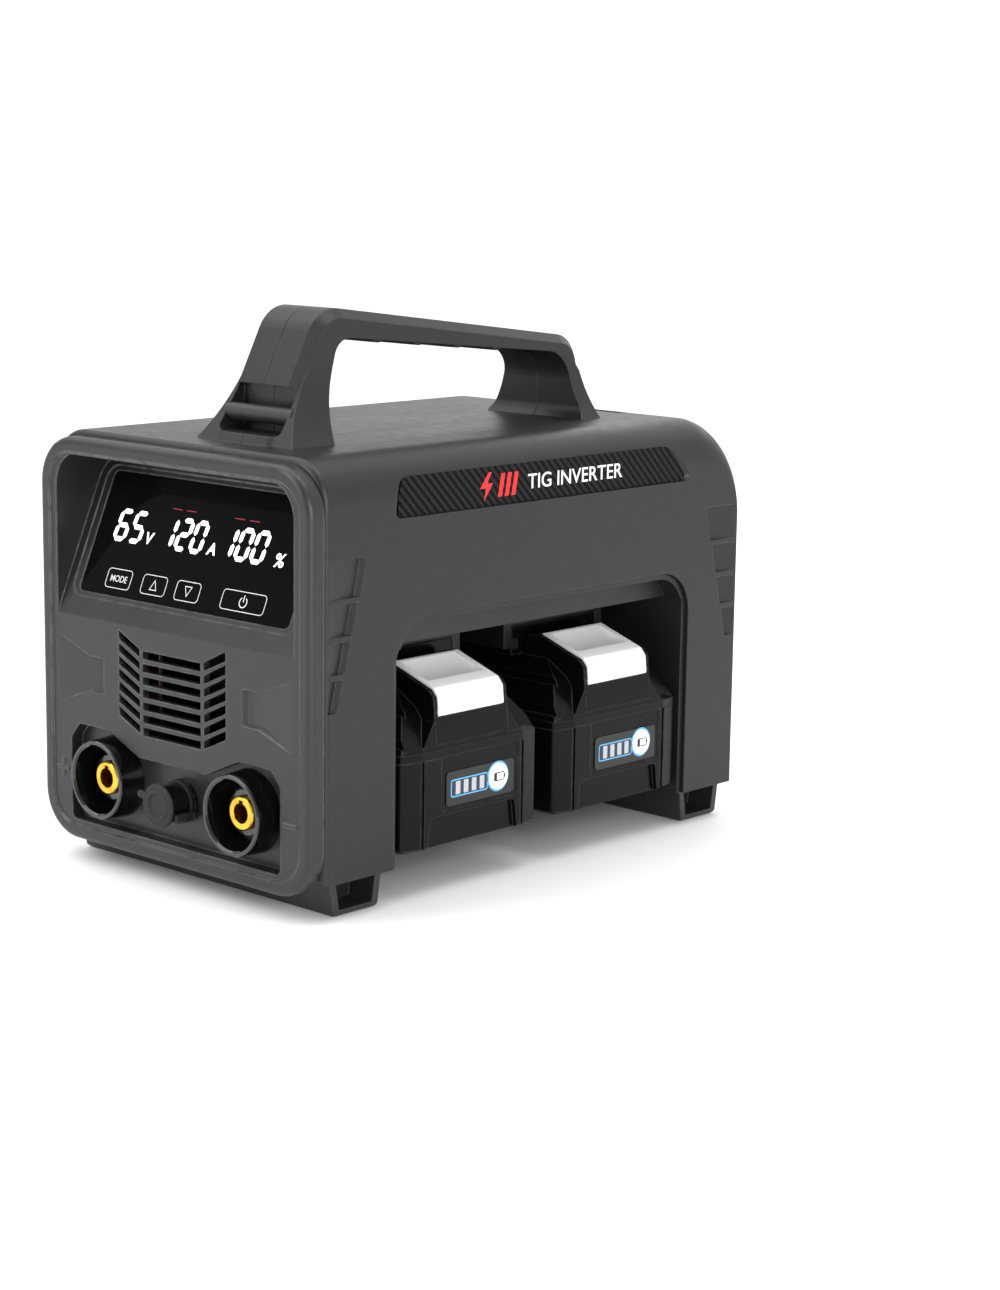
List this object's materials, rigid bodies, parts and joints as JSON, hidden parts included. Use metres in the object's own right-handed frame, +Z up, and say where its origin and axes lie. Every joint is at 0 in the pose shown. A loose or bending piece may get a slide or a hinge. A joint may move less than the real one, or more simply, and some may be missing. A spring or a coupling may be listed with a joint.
{
  "type": "tig welding machine",
  "caption": "Portable inverter welder with a carrying handle, slanted display, welding sockets and slide-in battery packs.",
  "frame": {"origin": "under the middle of the whole machine, on the surface it stands on", "axes": "+Z up, the front panel faces -Y, the battery packs slide out towards +X"},
  "size_m": [0.18, 0.2964, 0.2575],
  "materials": {
    "case_plastic": "fine moulded grain, charcoal",
    "panel_plastic": "fine moulded grain, charcoal",
    "foot_plastic": "plain moulded, dark",
    "liner_plastic": "plain moulded, near black",
    "socket_plastic": "polished black",
    "cap_rubber": "soft matt black",
    "brass": "turned, bright",
    "copper": "rolled copper strap",
    "display_glass": "smoked polished window",
    "label_print": "dark woven-look film",
    "pack_plastic": "smooth black",
    "button_white": "smooth white",
    "gauge_print": "dark film with a pale blue outline",
    "cell_steel": "sleeved cell cans; aluminium's density is close to a cell's",
    "inner_plastic": "natural moulded plastic",
    "board_green": "varnished circuit board",
    "sink_aluminium": "extruded, bare",
    "ferrite": "sintered grey",
    "screw_steel": "zinc plated"
  },
  "bodies": {
    "case": {"shell_left": "case_plastic", "shell_right": "case_plastic", "front_panel": "panel_plastic", "rear_panel": "panel_plastic", "front_foot": "foot_plastic", "rear_foot": "foot_plastic", "bay_liner": "liner_plastic", "strap_bar": "foot_plastic", "label_right": "label_print", "label_left": "label_print", "display_window": "display_glass", "display_module": "inner_plastic", "control_board": "board_green", "positive_socket": "socket_plastic", "negative_socket": "socket_plastic", "positive_insert": "brass", "negative_insert": "brass", "socket_nuts": "brass", "positive_busbar": "copper", "negative_busbar": "copper", "control_connector": "socket_plastic", "cap_tether": "cap_rubber", "case_screws": "screw_steel", "foot_screws": "screw_steel", "fan_frame": "liner_plastic", "power_board": "board_green", "board_posts": "screw_steel", "heatsink": "sink_aluminium", "power_transistors": "socket_plastic", "transformer_core": "ferrite", "transformer_winding": "copper", "output_choke": "copper", "capacitors": "label_print", "dock_1": "liner_plastic", "dock_2": "liner_plastic", "dock_1_blades": "copper", "dock_2_blades": "copper"},
    "pack_1": {"pack_1_lower_case": "pack_plastic", "pack_1_upper_case": "pack_plastic", "pack_1_gauge_label": "gauge_print", "pack_1_cells": "cell_steel", "pack_1_cell_holders": "inner_plastic", "pack_1_contact_clips": "brass"},
    "pack_1_release": {"pack_1_release_button": "button_white"},
    "pack_1_gauge": {"pack_1_gauge_button": "button_white"},
    "pack_2": {"pack_2_lower_case": "pack_plastic", "pack_2_upper_case": "pack_plastic", "pack_2_gauge_label": "gauge_print", "pack_2_cells": "cell_steel", "pack_2_cell_holders": "inner_plastic", "pack_2_contact_clips": "brass"},
    "pack_2_release": {"pack_2_release_button": "button_white"},
    "pack_2_gauge": {"pack_2_gauge_button": "button_white"},
    "cap": {"connector_cap": "cap_rubber"},
    "fan": {"fan_rotor": "liner_plastic"}
  },
  "joints": [
    {"name": "pack_1_slide", "type": "slide", "parent": "case", "child": "pack_1", "axis": [1, 0, 0], "range_m": [0, 0.12]},
    {"name": "pack_1_release_hinge", "type": "hinge", "parent": "pack_1", "child": "pack_1_release", "pos_m": [0.0852, -0.038, 0.0821], "axis": [0, -1, 0], "range_deg": [0, 4], "stiffness_Nm_per_rad": 0.8, "springref_deg": -11.46},
    {"name": "pack_1_gauge_press", "type": "slide", "parent": "pack_1", "child": "pack_1_gauge", "axis": [-1, 0, 0], "range_m": [0, 0.001], "stiffness_N_per_m": 600, "springref_m": -0.002},
    {"name": "pack_2_slide", "type": "slide", "parent": "case", "child": "pack_2", "axis": [1, 0, 0], "range_m": [0, 0.12]},
    {"name": "pack_2_release_hinge", "type": "hinge", "parent": "pack_2", "child": "pack_2_release", "pos_m": [0.0852, 0.063, 0.0821], "axis": [0, -1, 0], "range_deg": [0, 4], "stiffness_Nm_per_rad": 0.8, "springref_deg": -11.46},
    {"name": "pack_2_gauge_press", "type": "slide", "parent": "pack_2", "child": "pack_2_gauge", "axis": [-1, 0, 0], "range_m": [0, 0.001], "stiffness_N_per_m": 600, "springref_m": -0.002},
    {"name": "cap_pull", "type": "slide", "parent": "case", "child": "cap", "axis": [0, -1, 0], "range_m": [0, 0.012]},
    {"name": "fan_spin", "type": "hinge", "parent": "case", "child": "fan", "pos_m": [-0.02, 0.1302, 0.143], "axis": [0, 1, 0], "continuous": true}
  ]
}
